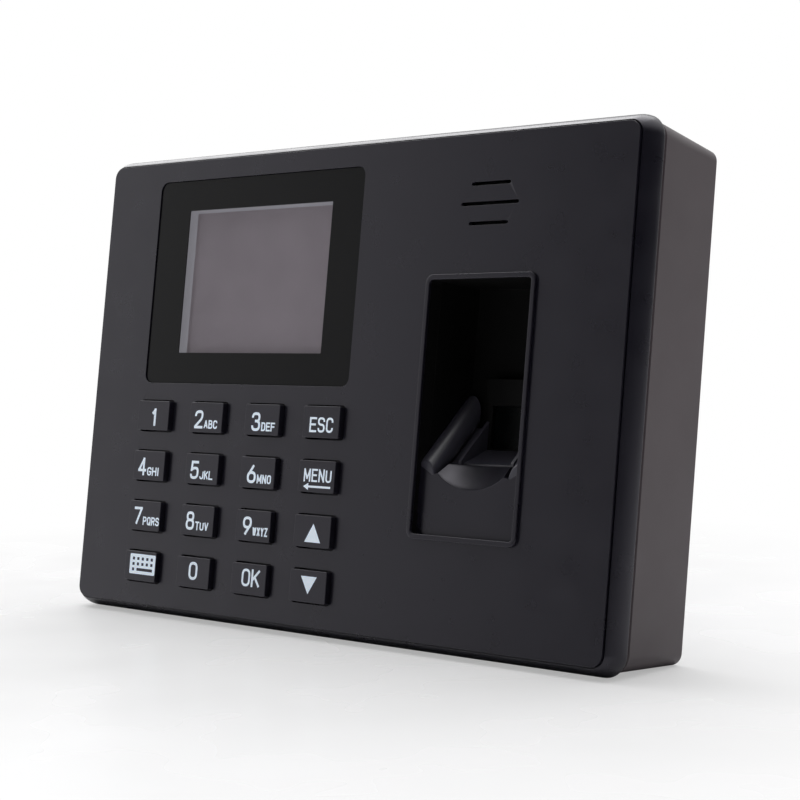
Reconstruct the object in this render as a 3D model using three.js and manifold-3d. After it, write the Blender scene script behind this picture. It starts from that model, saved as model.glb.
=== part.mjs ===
// A wall-mounted fingerprint terminal: a front cover with a screen, sixteen keys, a speaker and a
// finger well, closed by a rear shell that hangs on a steel wall plate.
// Millimetres. X runs to the right as seen from the front, Y back towards the wall, Z up.
// The origin is the centre of the wall plate's rear face.

import * as THREE from "three";
import { mergeVertices } from "three/addons/utils/BufferGeometryUtils.js";
import Module from "manifold-3d";

const wasm = await Module();
wasm.setup();

// ---------------------------------------------------------------- driving dimensions

const DEPTH = 27.4; // from the flat front face to the wall
const GAP = 0.3; // air between neighbouring pieces
const FACE = { width: 173.3, height: 115.8, radius: 2.8 };
const COVER_WALL = 2;
const GROOVE = { width: 0.4, depth: 1 }; // the line that frames the flat face
const RIM = { lead: 0.5, run: 5.4, spread: 1.95, back: 6.2, steps: 6 };
const SHELL = { front: 6.6, wall: 2.4, floor: 2.2, chamfer: 0.4 };
const SHELL_FRONT = { halfX: 88.85, halfZ: 59.25, radius: 4.2, z: 0 };
const SHELL_REAR = { halfX: 88.55, halfZ: 56.9, radius: 2.8, z: -0.5 };
const SHELL_LIP = { gap: 0.4, thick: 1.2, front: 4.8, back: 9.5 }; // slides inside the cover's rim

const KEY = { width: 12.2, height: 7.65, radius: 0.6, proud: 1.3, hole: 0.35, flange: 1 };
const KEY_PITCH = { x: 20.5, z: 13.1 };
const KEY_START = { x: -60.9, z: -8.98 }; // centre of the top left key
const KEY_ROWS = [
  ["key_1", "key_2", "key_3", "key_esc"],
  ["key_4", "key_5", "key_6", "key_menu"],
  ["key_7", "key_8", "key_9", "key_up"],
  ["key_text", "key_0", "key_ok", "key_down"],
];

const SCREEN = { x: -29.8, z: 26.3, width: 74, height: 52.9, radius: 2.2, sunk: 0.6, thick: 1 };
const PANEL = { x: -29.4, z: 26.4, width: 60, height: 43, front: 2.5, thick: 1.5 };
const SPEAKER = { x: 46.8, z: 42, radius: 13, slots: [11.4, 16.8, 11.4], pitch: 4.55, slot: 0.85 };

const WELL = { x: 46.05, z: -4.35, width: 29.7, height: 58.3, radius: 1.3, wall: 1.4, back: 18.9 };
const LIP = { width: 1.2, proud: 0.7 };
const SILL = { top: -17, face: 1.4, back: 7.3, thick: 2 }; // the plate and ledge below the finger
const SCOOP = { radius: 15.6, z: -7.2, slope: 45 };
const RIDGE = { x: 13.75, z: -21.1, radius: 3, slope: 47.5 }; // x is off the well's centre line
const NOTCH = { inner: 9.6, innerZ: -19.4, point: 11.5, pointZ: -19.8, outerZ: -17.9 };
const POCKET = { half: 7.25, floor: -16.6, rise: 4.1 };

const BOARD = { left: -74, right: 27.5, bottom: -55, top: 53.5, front: 7, thick: 1.6 };
const SOCKET = { usbX: -30, powerX: -52, mouth: -57.4 };
const CASE_SCREW = { x: 79.5, z: 50.5, seat: 11 }; // seat is how far the heads sit below the rear face
const PLATE = { width: 122, height: 78, thick: 1.2, tab: 18, tabBottom: -52 };
const PAD = { reach: 5, inner: 3.6, recess: 1.5 }; // the thickened floor that the plate lies in
const HOOK = { x: 40, half: 5, stem: 16, tip: 23 };
const LOCK = { y: 5, head: 2.6, seat: -55.5, end: -57.4 }; // screwed upwards into the plate's tab

const DEG = Math.PI / 180;

// ---------------------------------------------------------------- solids and cuts

// Y of a plane that lies this far behind the flat front face.
const at = (depth) => depth - DEPTH;

// Coordinates are snapped to a thousandth so that shared planes meet exactly.
const snap = (value) => Math.round(value * 1000) / 1000;

// A closed mesh as a solid.
function solid(geometry) {
  const bare = geometry.clone();
  bare.deleteAttribute("normal");
  bare.deleteAttribute("uv");
  const place = bare.attributes.position.array;
  place.forEach((value, index) => (place[index] = snap(value)));
  const merged = mergeVertices(bare, 1e-5);
  const mesh = new wasm.Mesh({
    numProp: 3,
    vertProperties: merged.attributes.position.array,
    triVerts: new Uint32Array(merged.index.array),
  });
  return new wasm.Manifold(mesh);
}

function toGeometry(manifold) {
  const mesh = manifold.getMesh();
  const geometry = new THREE.BufferGeometry();
  geometry.setAttribute("position", new THREE.BufferAttribute(mesh.vertProperties, 3));
  geometry.setIndex(new THREE.BufferAttribute(mesh.triVerts, 1));
  return geometry;
}

function roundedRect(width, height, radius, x = 0, z = 0) {
  const shape = new THREE.Shape();
  const right = x + width / 2 - radius;
  const left = x - width / 2 + radius;
  const top = z + height / 2 - radius;
  const bottom = z - height / 2 + radius;
  shape.absarc(right, top, radius, 0, Math.PI / 2);
  shape.absarc(left, top, radius, Math.PI / 2, Math.PI);
  shape.absarc(left, bottom, radius, Math.PI, 1.5 * Math.PI);
  shape.absarc(right, bottom, radius, 1.5 * Math.PI, 2 * Math.PI);
  return shape;
}

function polygon(points) {
  return new THREE.Shape(points.map(([u, v]) => new THREE.Vector2(u, v)));
}

// A front-view outline pushed through from one depth to another.
function slab(shape, near, far, curveSegments = 2) {
  const geometry = new THREE.ExtrudeGeometry(shape, {
    depth: far - near,
    bevelEnabled: false,
    curveSegments,
  });
  geometry.rotateX(Math.PI / 2);
  geometry.translate(0, at(far), 0);
  return solid(geometry);
}

// A slab whose outline grows by `spread` over `run` of depth behind its tip: a straight draft with
// one step, a quarter ellipse with more.
function flare(shape, tip, length, run, spread, steps, curveSegments = 3) {
  const geometry = new THREE.ExtrudeGeometry(shape, {
    depth: length,
    bevelThickness: run,
    bevelSize: spread,
    bevelSegments: steps,
    curveSegments,
  });
  geometry.translate(0, 0, -length / 2);
  geometry.rotateX(Math.PI / 2);
  geometry.translate(0, at(tip) + length / 2 + run, 0);
  return solid(geometry).intersect(block(-200, 200, tip, tip + length, -200, 200));
}

// The convex solid through front-view outlines, each given with its depth.
function taper(rings, curveSegments = 6) {
  const corners = rings.flatMap(([shape, depth]) =>
    shape.getPoints(curveSegments).map(({ x, y }) => [snap(x), snap(at(depth)), snap(y)])
  );
  return wasm.Manifold.hull(corners);
}

function block(left, right, near, far, bottom, top) {
  const geometry = new THREE.BoxGeometry(right - left, far - near, top - bottom);
  geometry.translate((left + right) / 2, at((near + far) / 2), (bottom + top) / 2);
  return solid(geometry);
}

// A round bar along Y.
function post(radius, x, z, near, far, sides = 20) {
  const geometry = new THREE.CylinderGeometry(radius, radius, far - near, sides);
  geometry.translate(x, at((near + far) / 2), z);
  return solid(geometry);
}

// A side-view outline of [depth, z] points, pushed through from left to right.
function sideSlab(points, left, right) {
  const shape = polygon(points.map(([depth, z]) => [at(depth), z]));
  const geometry = new THREE.ExtrudeGeometry(shape, { depth: right - left, bevelEnabled: false });
  geometry.rotateY(Math.PI / 2);
  geometry.rotateX(Math.PI / 2);
  geometry.translate(left, 0, 0);
  return solid(geometry);
}

// A section swept along a smooth curve through [x, depth, z] points.
function sweep(section, points, steps) {
  const path = new THREE.CatmullRomCurve3(points.map(([x, d, z]) => new THREE.Vector3(x, at(d), z)));
  return new THREE.ExtrudeGeometry(section, { steps, extrudePath: path, curveSegments: 2 });
}

// A turned piece about an axis along Y, from [radius, depth] points that close on themselves.
function turned(profile, x, z, sides = 24) {
  const points = profile.map(([radius, depth]) => new THREE.Vector2(radius, depth));
  const geometry = new THREE.LatheGeometry([...points, points[0].clone()], sides);
  geometry.translate(x, -DEPTH, z);
  return geometry;
}

// ---------------------------------------------------------------- materials and parts

const material = (color, roughness, metalness = 0) =>
  new THREE.MeshStandardMaterial({ color, roughness, metalness });

const FINISH = {
  cover: material(0x36353a, 0.55),
  shell: material(0x4a4648, 0.6),
  key: material(0x2c2c30, 0.5),
  lens: material(0x141414, 0.15),
  panel: material(0x6b666a, 0.2),
  well: material(0x0b0b0c, 0.6),
  glass: material(0x10181a, 0.08),
  rubber: material(0x707070, 0.8),
  board: material(0x1d4a2c, 0.5),
  chip: material(0x1a1a1a, 0.5),
  steel: material(0xb9bcc0, 0.35, 1),
  socket: material(0x202020, 0.5),
  cloth: material(0x0d0d0d, 0.95),
  paper: material(0x3a3634, 0.9),
  ribbon: material(0xb8762c, 0.5),
};

const terminal = new THREE.Group();

function part(name, finish, shape) {
  const geometry = shape.isBufferGeometry ? shape : toGeometry(shape);
  const mesh = new THREE.Mesh(geometry, FINISH[finish]);
  mesh.name = name;
  terminal.add(mesh);
  return mesh;
}

const corners = [-1, 1].flatMap((sideX) => [-1, 1].map((sideZ) => [sideX, sideZ]));

// ---------------------------------------------------------------- shared outlines

const grown = (box, by) =>
  roundedRect(box.width + 2 * by, box.height + 2 * by, box.radius + by, box.x, box.z);

const rimOutline = grown(FACE, GROOVE.width);
const insideHalf = {
  x: FACE.width / 2 + GROOVE.width,
  z: FACE.height / 2 + GROOVE.width,
};
const keyCentre = (column, row) => ({
  x: KEY_START.x + column * KEY_PITCH.x,
  z: KEY_START.z - row * KEY_PITCH.z,
});

// The outline of a ridge's pointed front end, where it shows above the sill.
function ridgeTip(side, inset) {
  const outer = WELL.width / 2 - inset;
  const inner = NOTCH.inner + inset;
  const top = SILL.top + 8;
  const x = (offset) => WELL.x + side * offset;
  const points = [
    [x(outer), top],
    [x(outer), NOTCH.outerZ + inset],
    [x(NOTCH.point), NOTCH.pointZ + 1.3 * inset],
    [x(inner), NOTCH.innerZ + inset],
    [x(inner), top],
  ];
  return polygon(side > 0 ? points.reverse() : points);
}

// A bar along a ridge's sloping axis.
function ridgeBar(side, radius) {
  const length = 44;
  const geometry = new THREE.CylinderGeometry(radius, radius, length, 24);
  geometry.rotateX(RIDGE.slope * DEG);
  geometry.translate(WELL.x + side * RIDGE.x, at(SILL.face), RIDGE.z);
  return solid(geometry);
}

// ---------------------------------------------------------------- front cover

function coverScrewBosses() {
  return corners.map(([sideX, sideZ]) => {
    const x = sideX * CASE_SCREW.x;
    const z = sideZ * CASE_SCREW.z;
    return post(3.4, x, z, 1.5, 12.1).subtract(post(1.5, x, z, 3.2, 13));
  });
}

const boardScrewPlaces = [BOARD.left + 3, BOARD.right - 5.5].flatMap((x) =>
  [BOARD.bottom + 4, BOARD.top - 4].map((z) => [x, z])
);

function boardBosses() {
  return boardScrewPlaces.map(([x, z]) =>
    post(2.7, x, z, 1.5, BOARD.front - 0.1).subtract(post(1.05, x, z, 3, BOARD.front))
  );
}

function speakerSlots() {
  return SPEAKER.slots.map((length, row) => {
    const z = SPEAKER.z + (1 - row) * SPEAKER.pitch;
    return slab(roundedRect(length, SPEAKER.slot, SPEAKER.slot / 2, SPEAKER.x, z), -1, 3);
  });
}

// The sunk plate below the finger, its ledge, the scoop and the notches for the ridges.
function sill() {
  const bottom = WELL.z - WELL.height / 2;
  const left = WELL.x - WELL.width / 2 - 0.2;
  const right = WELL.x + WELL.width / 2 + 0.2;
  const skin = block(left, right, SILL.face, SILL.face + SILL.thick, bottom - 0.2, SILL.top);
  const ledge = block(left + 0.5, right - 0.5, SILL.face, SILL.back, SILL.top - 7.5, SILL.top);
  const circle = new THREE.Shape().absarc(WELL.x, SCOOP.z, SCOOP.radius, 0, 2 * Math.PI);
  const scoopGeometry = new THREE.ExtrudeGeometry(circle, {
    depth: 12,
    bevelEnabled: false,
    curveSegments: 24,
  });
  scoopGeometry.rotateX(Math.PI / 2);
  scoopGeometry.translate(0, 10, 0);
  const rise = Math.tan(SCOOP.slope * DEG);
  scoopGeometry.applyMatrix4(new THREE.Matrix4().makeShear(0, 0, 0, rise, 0, 0));
  scoopGeometry.translate(0, at(SILL.face), 0);
  let body = skin.add(ledge).subtract(solid(scoopGeometry));
  const behindSkin = block(left - 1, right + 1, SILL.face + 1, 12, bottom - 1, 10);
  for (const side of [-1, 1]) {
    const passage = ridgeBar(side, RIDGE.radius + GAP).intersect(behindSkin);
    body = body.subtract(passage).subtract(slab(ridgeTip(side, 0), 0, SILL.face + 1.2));
  }
  return body;
}

function frontCover() {
  let body = flare(rimOutline, RIM.lead, RIM.back - RIM.lead, RIM.run, RIM.spread, RIM.steps);
  body = body.add(slab(grown(FACE, 0), 0, COVER_WALL));
  body = body.subtract(slab(grown(FACE, GROOVE.width), COVER_WALL, RIM.back + 1));
  const grooveRing = slab(grown(FACE, GROOVE.width), -1, GROOVE.depth);
  body = body.subtract(grooveRing.subtract(slab(grown(FACE, 0), -2, GROOVE.depth + 1)));

  const seatBack = SCREEN.sunk + SCREEN.thick + 0.15;
  body = body.add(slab(grown(SCREEN, 1.8), COVER_WALL - 0.1, seatBack + 1.6));
  body = body.subtract(slab(grown(SCREEN, 0.15), -1, seatBack));
  const windowCut = roundedRect(PANEL.width + 1, PANEL.height + 1, 0.6, PANEL.x, PANEL.z);
  body = body.subtract(slab(windowCut, 0, seatBack + 3));

  for (const [row, names] of KEY_ROWS.entries()) {
    for (const column of names.keys()) {
      const { x, z } = keyCentre(column, row);
      const hole = grown({ ...KEY, x, z }, KEY.hole);
      body = body.subtract(slab(hole, -1, COVER_WALL + 1, 1));
    }
  }

  const { x: speakerX, z: speakerZ, radius } = SPEAKER;
  const speakerWall = post(radius + 1.6, speakerX, speakerZ, 1.5, 5, 28);
  body = body.add(speakerWall.subtract(post(radius + 0.4, speakerX, speakerZ, COVER_WALL, 6, 28)));

  body = body.add(slab(grown(WELL, LIP.width), -LIP.proud, COVER_WALL));
  body = body.add(slab(grown(WELL, 1.6), COVER_WALL - 0.1, SILL.face + SILL.thick + 0.2));
  body = body.subtract(slab(grown(WELL, 0), -2, 5));
  body = body.add(sill());

  for (const boss of [...coverScrewBosses(), ...boardBosses()]) {
    body = body.add(boss);
  }
  for (const slot of speakerSlots()) {
    body = body.subtract(slot);
  }
  return body;
}

part("front_cover", "cover", frontCover());

// ---------------------------------------------------------------- display

const screenBack = SCREEN.sunk + SCREEN.thick;
part("display_window", "lens", slab(grown(SCREEN, 0), SCREEN.sunk, screenBack));
part(
  "lcd_panel",
  "panel",
  block(
    PANEL.x - PANEL.width / 2,
    PANEL.x + PANEL.width / 2,
    PANEL.front,
    PANEL.front + PANEL.thick,
    PANEL.z - PANEL.height / 2,
    PANEL.z + PANEL.height / 2
  )
);

// A tray behind the panel that holds the light guide, with a low wall around the panel's back.
function backlightTray() {
  const front = PANEL.front + PANEL.thick + 0.1;
  const tray = slab(roundedRect(PANEL.width + 4, PANEL.height + 4, 1, PANEL.x, PANEL.z), front, 6.6);
  const guide = slab(roundedRect(PANEL.width - 2, PANEL.height - 2, 1, PANEL.x, PANEL.z), 0, 5.2);
  return tray.subtract(guide);
}

part("backlight_tray", "steel", backlightTray());
part(
  "light_guide",
  "rubber",
  slab(roundedRect(PANEL.width - 3, PANEL.height - 3, 0.8, PANEL.x, PANEL.z), 4.2, 5.1)
);

// ---------------------------------------------------------------- keypad

// A cap with softened top edges on a flange that is too wide for its hole.
function keyCap(x, z) {
  const bevel = 0.35;
  const outline = roundedRect(KEY.width - 2 * bevel, KEY.height - 2 * bevel, KEY.radius, x, z);
  const back = COVER_WALL + 0.2;
  const cap = flare(outline, -KEY.proud, KEY.proud + back + 0.2, bevel, bevel, 1, 1);
  const flange = grown({ ...KEY, x, z }, KEY.flange);
  return cap.add(slab(flange, back, back + 1, 1));
}

for (const [row, names] of KEY_ROWS.entries()) {
  for (const [column, name] of names.entries()) {
    const { x, z } = keyCentre(column, row);
    part(name, "key", keyCap(x, z));
  }
}

// One sheet of silicone with a dome behind each key, low enough to clear a pressed key.
function keypadMat() {
  const centre = keyCentre(1.5, 1.5);
  const base = BOARD.front - 0.1;
  const sheet = roundedRect(3 * KEY_PITCH.x + 13.8, 3 * KEY_PITCH.z + 11, 2, centre.x, centre.z);
  let mat = slab(sheet, base - 1.2, base);
  for (const [row, names] of KEY_ROWS.entries()) {
    for (const column of names.keys()) {
      const { x, z } = keyCentre(column, row);
      mat = mat.add(post(2.6, x, z, base - 2.4, base - 0.5, 12));
    }
  }
  return mat;
}

part("keypad_mat", "rubber", keypadMat());

// ---------------------------------------------------------------- main board

const boardBack = BOARD.front + BOARD.thick;
const onBoard = boardBack + 0.1;

function mainBoard() {
  const { left, right, bottom, top, front } = BOARD;
  let board = block(left, right, front, boardBack, bottom, top);
  board = board.subtract(block(-40, -18, front - 1, boardBack + 1, -1, 1.6));
  for (const [x, z] of boardScrewPlaces) {
    board = board.subtract(post(1.3, x, z, front - 1, boardBack + 1, 12));
  }
  return board;
}

part("main_board", "board", mainBoard());
part("processor", "chip", block(-37, -21, onBoard, onBoard + 1.3, 16, 32));
part("memory_chip", "chip", block(-8, 4, onBoard, onBoard + 1.1, 20, 29));
part("voltage_regulator", "chip", block(-56, -50, onBoard, onBoard + 1.6, -30, -23));
part("board_capacitor", "steel", post(3.2, -40, -30, onBoard, onBoard + 7, 16));
part("clock_battery", "steel", post(8, 8, -14, onBoard + 1.3, onBoard + 3.9, 24));

// A cup that grips the coin cell, open at the back.
function batteryHolder() {
  const cup = post(9.4, 8, -14, onBoard, onBoard + 3, 24);
  return cup.subtract(post(8.2, 8, -14, onBoard + 1, onBoard + 4, 24));
}

part("battery_holder", "socket", batteryHolder());

// The display's flat tail drops through the board and turns up behind it.
function displayTail() {
  const front = block(-37, -21, 4.9, 5.1, 0.2, PANEL.z - PANEL.height / 2 - 2.2);
  const through = block(-37, -21, 4.9, 9.7, 0.2, 0.4);
  const behind = block(-37, -21, 9.5, 9.7, 0.2, 5.9);
  return front.add(through).add(behind);
}

part("display_tail", "ribbon", displayTail());
part("tail_connector", "socket", block(-39, -19, onBoard, onBoard + 1.6, 6, 10));

for (const [index, [x, z]] of boardScrewPlaces.entries()) {
  const head = post(2.1, x, z, onBoard, onBoard + 1.5, 12);
  part(`board_screw_${index + 1}`, "steel", head.add(post(0.95, x, z, 3.4, onBoard + 0.1, 12)));
}

// ---------------------------------------------------------------- sockets in the lower edge

function usbShell() {
  const { usbX, mouth } = SOCKET;
  const half = 6.6;
  const top = onBoard + 5.8;
  const wall = 0.4;
  const can = block(usbX - half, usbX + half, onBoard, top, mouth, mouth + 14);
  const inside = half - wall;
  const room = block(usbX - inside, usbX + inside, onBoard + wall, top - wall, mouth - 1, mouth + 13);
  return can.subtract(room);
}

function usbTongue() {
  const { usbX, mouth } = SOCKET;
  return block(usbX - 5.6, usbX + 5.6, onBoard + 1, onBoard + 2.9, mouth + 1, mouth + 12.9);
}

function powerSocket() {
  const { powerX, mouth } = SOCKET;
  const centre = onBoard + 5.3;
  const alongZ = (radius, bottom, top) => {
    const geometry = new THREE.CylinderGeometry(radius, radius, top - bottom, 20);
    geometry.rotateX(Math.PI / 2);
    geometry.translate(powerX, at(centre), (top + bottom) / 2);
    return solid(geometry);
  };
  const body = block(powerX - 4.5, powerX + 4.5, onBoard, onBoard + 10.6, mouth, mouth + 13);
  return body.subtract(alongZ(3.1, mouth - 1, mouth + 10)).add(alongZ(1, mouth + 1, mouth + 10.5));
}

part("usb_shell", "steel", usbShell());
part("usb_tongue", "socket", usbTongue());
part("power_socket", "socket", powerSocket());

// ---------------------------------------------------------------- speaker

function speakerCloth() {
  const front = COVER_WALL + 0.1;
  return post(SPEAKER.radius - 0.2, SPEAKER.x, SPEAKER.z, front, front + 0.4, 24);
}

part("speaker_cloth", "cloth", speakerCloth());

const basket = [
  [SPEAKER.radius, 2.8],
  [SPEAKER.radius, 4],
  [7.5, 8.2],
  [7.5, 10.4],
  [0, 10.4],
  [0, 9],
  [5.6, 9],
  [5.6, 8],
  [SPEAKER.radius - 2, 3.8],
  [SPEAKER.radius - 2, 2.8],
];
part("speaker_basket", "steel", turned(basket, SPEAKER.x, SPEAKER.z));

const cone = [
  [SPEAKER.radius - 2.3, 3],
  [SPEAKER.radius - 2.3, 3.6],
  [3, 6.4],
  [0, 5.8],
  [0, 5.3],
  [3, 5.8],
];
part("speaker_cone", "paper", turned(cone, SPEAKER.x, SPEAKER.z));

const wireSection = new THREE.Shape().absarc(0, 0, 0.6, 0, 2 * Math.PI);
const wirePath = [
  [39.4, 9.6, 38],
  [33, 10.6, 35.5],
  [29, 11.6, 34],
  [24.6, 11, 33],
];
part("speaker_wire", "socket", sweep(wireSection, wirePath, 10));
part("speaker_connector", "socket", block(19.5, 24.2, onBoard, onBoard + 4.2, 31, 36.5));

// ---------------------------------------------------------------- fingerprint scanner

// The dark box behind the opening; the camera looks through a round hole in its back.
function fingerWell() {
  const front = SILL.face + SILL.thick + 0.5;
  const bottom = SILL.top - 10;
  const top = WELL.z + WELL.height / 2 + 1.6;
  const left = WELL.x - WELL.width / 2 - 1.6;
  const right = WELL.x + WELL.width / 2 + 1.6;
  const { wall, back } = WELL;
  const outer = block(left, right, front, back, bottom, top);
  const inner = block(left + wall, right - wall, front - 1, back - 1.2, bottom + wall, top - wall);
  return outer.subtract(inner).subtract(post(3.9, WELL.x, -7.5, back - 3, back + 1));
}

part("finger_well", "well", fingerWell());

const glassFront = WELL.back - 2.4;

// Two ridges on side blocks, a sloping floor between them and a frame for the window at the back.
function fingerGuide() {
  const front = SILL.back + GAP;
  const back = glassFront - 0.1;
  const base = SILL.top - 8.2;
  const half = WELL.width / 2 - 0.1;
  const left = WELL.x - half;
  const right = WELL.x + half;
  const bed = [
    [front, base],
    [back, base],
    [back, POCKET.floor + POCKET.rise],
    [front, POCKET.floor],
  ];
  const rail = (depth) => RIDGE.z + (depth - SILL.face) * Math.tan(RIDGE.slope * DEG) - 0.6;
  const cheek = [
    [front, base],
    [back, base],
    [back, rail(back)],
    [front, rail(front)],
  ];
  let body = sideSlab(bed, left, right);
  for (const side of [-1, 1]) {
    const outer = WELL.x + side * half;
    const inner = WELL.x + side * POCKET.half;
    const span = [outer, inner].sort((a, b) => a - b);
    body = body.add(sideSlab(cheek, span[0], span[1]));
    const skin = block(left - 5, right + 5, 0, SILL.face + 1.35, -60, 60);
    const spare = skin.subtract(slab(ridgeTip(side, 0.2), 0, SILL.face + 1.4));
    const reach = block(left, right, SILL.face + 0.1, back, -60, 60);
    body = body.add(ridgeBar(side, RIDGE.radius).intersect(reach).subtract(spare));
  }
  const frame = block(left, right, back - 1, back, base, 3.6);
  const brow = block(WELL.x - POCKET.half - 1, WELL.x + POCKET.half + 1, back - 2, back, -2.6, 3.6);
  const opening = block(WELL.x - 6.5, WELL.x + 6.5, back - 1.5, back + 1, -12.2, -2.6);
  return body.add(frame).add(brow).subtract(opening);
}

part("finger_guide", "well", fingerGuide());

part(
  "scanner_window",
  "glass",
  block(WELL.x - 7.5, WELL.x + 7.5, glassFront, glassFront + 1.1, -13.2, -1.6)
);
part("scanner_lens", "chip", post(3.6, WELL.x, -7.5, WELL.back - 1, 21.1, 20));
part("scanner_lamp", "rubber", block(WELL.x - 5, WELL.x + 5, 19.2, 21.1, -0.8, 1.2));
part("scanner_board", "board", block(WELL.x - 15, WELL.x + 15, 21.2, 22.6, -28, 12));

const cableSection = polygon([
  [-4.5, -0.25],
  [4.5, -0.25],
  [4.5, 0.25],
  [-4.5, 0.25],
]);
const cablePath = [
  [WELL.x - 15.2, 21.9, -4],
  [28.6, 21.4, -4],
  [27.4, 16, -4],
  [26.6, 11, -4],
  [25.2, 10.2, -4],
];
part("scanner_cable", "ribbon", sweep(cableSection, cablePath, 14));
part("scanner_connector", "socket", block(20.6, 24.9, onBoard, onBoard + 2.6, -9.5, 1.5));

// ---------------------------------------------------------------- rear shell

// The shell's outer outline at a depth, drawn in by `inset` on every side.
function shellOutline(depth, inset) {
  const share = (depth - SHELL.front) / (DEPTH - SHELL.front);
  const between = (key) => SHELL_FRONT[key] + share * (SHELL_REAR[key] - SHELL_FRONT[key]);
  const width = 2 * (between("halfX") - inset);
  const height = 2 * (between("halfZ") - inset);
  return roundedRect(width, height, between("radius") - inset, 0, between("z"));
}

function shellBlock(near, far, inset) {
  return taper([near, far].map((depth) => [shellOutline(depth, inset), depth]));
}

function wallPlateOutline(grow) {
  return roundedRect(PLATE.width + 2 * grow, PLATE.height + 2 * grow, 4 + grow);
}

function tabBlock(grow, near, far) {
  const half = PLATE.tab / 2 + grow;
  return block(-half, half, near, far, PLATE.tabBottom - grow, -PLATE.height / 2 + 3);
}

// A round bar along the lock screw's axis, which goes up through the shell's lower wall.
function alongLock(radius, bottom, top, sides = 16) {
  const geometry = new THREE.CylinderGeometry(radius, radius, top - bottom, sides);
  geometry.rotateX(Math.PI / 2);
  geometry.translate(0, -LOCK.y, (top + bottom) / 2);
  return solid(geometry);
}

// The open box itself, with softened front and rear edges and the lip that locates it in the cover.
function shellCase() {
  const frontEdge = SHELL.front + SHELL.chamfer;
  const rearEdge = DEPTH - SHELL.chamfer;
  const outside = taper([
    [shellOutline(SHELL.front, SHELL.chamfer), SHELL.front],
    [shellOutline(frontEdge, 0), frontEdge],
    [shellOutline(rearEdge, 0), rearEdge],
    [shellOutline(DEPTH, SHELL.chamfer), DEPTH],
  ]);
  const inside = shellBlock(SHELL.front - 1, DEPTH - SHELL.floor, SHELL.wall);
  const lipOutline = (inset) =>
    roundedRect(2 * (insideHalf.x - inset), 2 * (insideHalf.z - inset), FACE.radius - inset / 2);
  const { gap, thick, front, back } = SHELL_LIP;
  const lip = slab(lipOutline(gap), front, back);
  const lipInside = slab(lipOutline(gap + thick), front - 1, back + 1);
  return outside.subtract(inside).add(lip.subtract(lipInside));
}

// A hole through the lower wall round a socket's centre.
function socketMouth(x, depth, halfWidth, halfDepth) {
  return block(x - halfWidth, x + halfWidth, depth - halfDepth, depth + halfDepth, -61, -55);
}

function rearShell() {
  let body = shellCase();
  const floor = DEPTH - SHELL.floor;
  const padNear = DEPTH - PAD.inner;
  body = body.add(slab(wallPlateOutline(PAD.reach), padNear, floor + 0.1));
  body = body.add(tabBlock(PAD.reach - 1, padNear, floor + 0.1));
  body = body.add(block(-4.6, 4.6, DEPTH - 9.5, padNear + 0.1, -57, LOCK.seat + 3));

  for (const [sideX, sideZ] of corners) {
    const x = sideX * CASE_SCREW.x;
    const z = sideZ * CASE_SCREW.z;
    body = body.add(post(4.6, x, z, 12.4, DEPTH - 1));
    body = body.subtract(post(1.7, x, z, 12, DEPTH + 1, 16));
    body = body.subtract(post(3.2, x, z, DEPTH - CASE_SCREW.seat, DEPTH + 1));
  }

  const recessNear = DEPTH - PAD.recess;
  body = body.subtract(slab(wallPlateOutline(GAP), recessNear, DEPTH + 1));
  body = body.subtract(tabBlock(GAP, recessNear, DEPTH + 1));
  body = body.subtract(block(-9.6, 9.6, DEPTH - 10, DEPTH + 1, PLATE.tabBottom - GAP, -49.8));
  for (const side of [-1, 1]) {
    const x = side * HOOK.x;
    body = body.subtract(block(x - 6, x + 6, padNear - 1, DEPTH + 1, HOOK.stem - 3, HOOK.tip + 1));
  }
  body = body.subtract(slab(roundedRect(30, 16, 2, 0, 22), padNear - 1, DEPTH + 1));

  body = body.subtract(alongLock(1.6, -60, -50));
  body = body.subtract(alongLock(LOCK.head + 0.4, -61, LOCK.seat));
  body = body.subtract(socketMouth(SOCKET.usbX, onBoard + 2.9, 7.2, 3.5));
  return body.subtract(socketMouth(SOCKET.powerX, onBoard + 5.3, 5, 5.8));
}

part("rear_shell", "shell", rearShell());

const seatDepth = DEPTH - CASE_SCREW.seat;
for (const [index, [sideX, sideZ]] of corners.entries()) {
  const x = sideX * CASE_SCREW.x;
  const z = sideZ * CASE_SCREW.z;
  const head = post(2.9, x, z, seatDepth + 0.1, seatDepth + 2.2, 16);
  const drive = post(1.3, x, z, seatDepth + 1.2, seatDepth + 3, 6);
  const thread = post(1.35, x, z, 4, seatDepth + 0.2, 16);
  part(`case_screw_${index + 1}`, "steel", head.subtract(drive).add(thread));
}

// ---------------------------------------------------------------- wall plate

// A flat steel plate with two hooks that reach into the shell and a flanged tab at its foot.
function wallPlate() {
  const near = DEPTH - PLATE.thick;
  let body = slab(wallPlateOutline(0), near, DEPTH);
  body = body.add(tabBlock(0, near, DEPTH));
  const half = PLATE.tab / 2;
  const flangeTop = PLATE.tabBottom + 1.4;
  body = body.add(block(-half, half, DEPTH - 9, DEPTH, PLATE.tabBottom, flangeTop));
  body = body.subtract(alongLock(1.2, PLATE.tabBottom - 1, flangeTop + 1));
  for (const side of [-1, 1]) {
    const left = side * HOOK.x - HOOK.half;
    const right = side * HOOK.x + HOOK.half;
    const reach = DEPTH - PAD.inner - 1.6;
    body = body.add(block(left, right, reach, near + 0.1, HOOK.stem, HOOK.stem + 1.3));
    body = body.add(block(left, right, reach, reach + 1.2, HOOK.stem, HOOK.tip));
  }
  body = body.subtract(slab(roundedRect(28, 14, 2, 0, 22), near - 1, DEPTH + 1));
  for (const [sideX, sideZ] of corners) {
    const slot = roundedRect(5, 9, 2.4, sideX * 52, sideZ * 30);
    body = body.subtract(slab(slot, near - 1, DEPTH + 1));
  }
  return body;
}

part("wall_plate", "steel", wallPlate());

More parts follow.
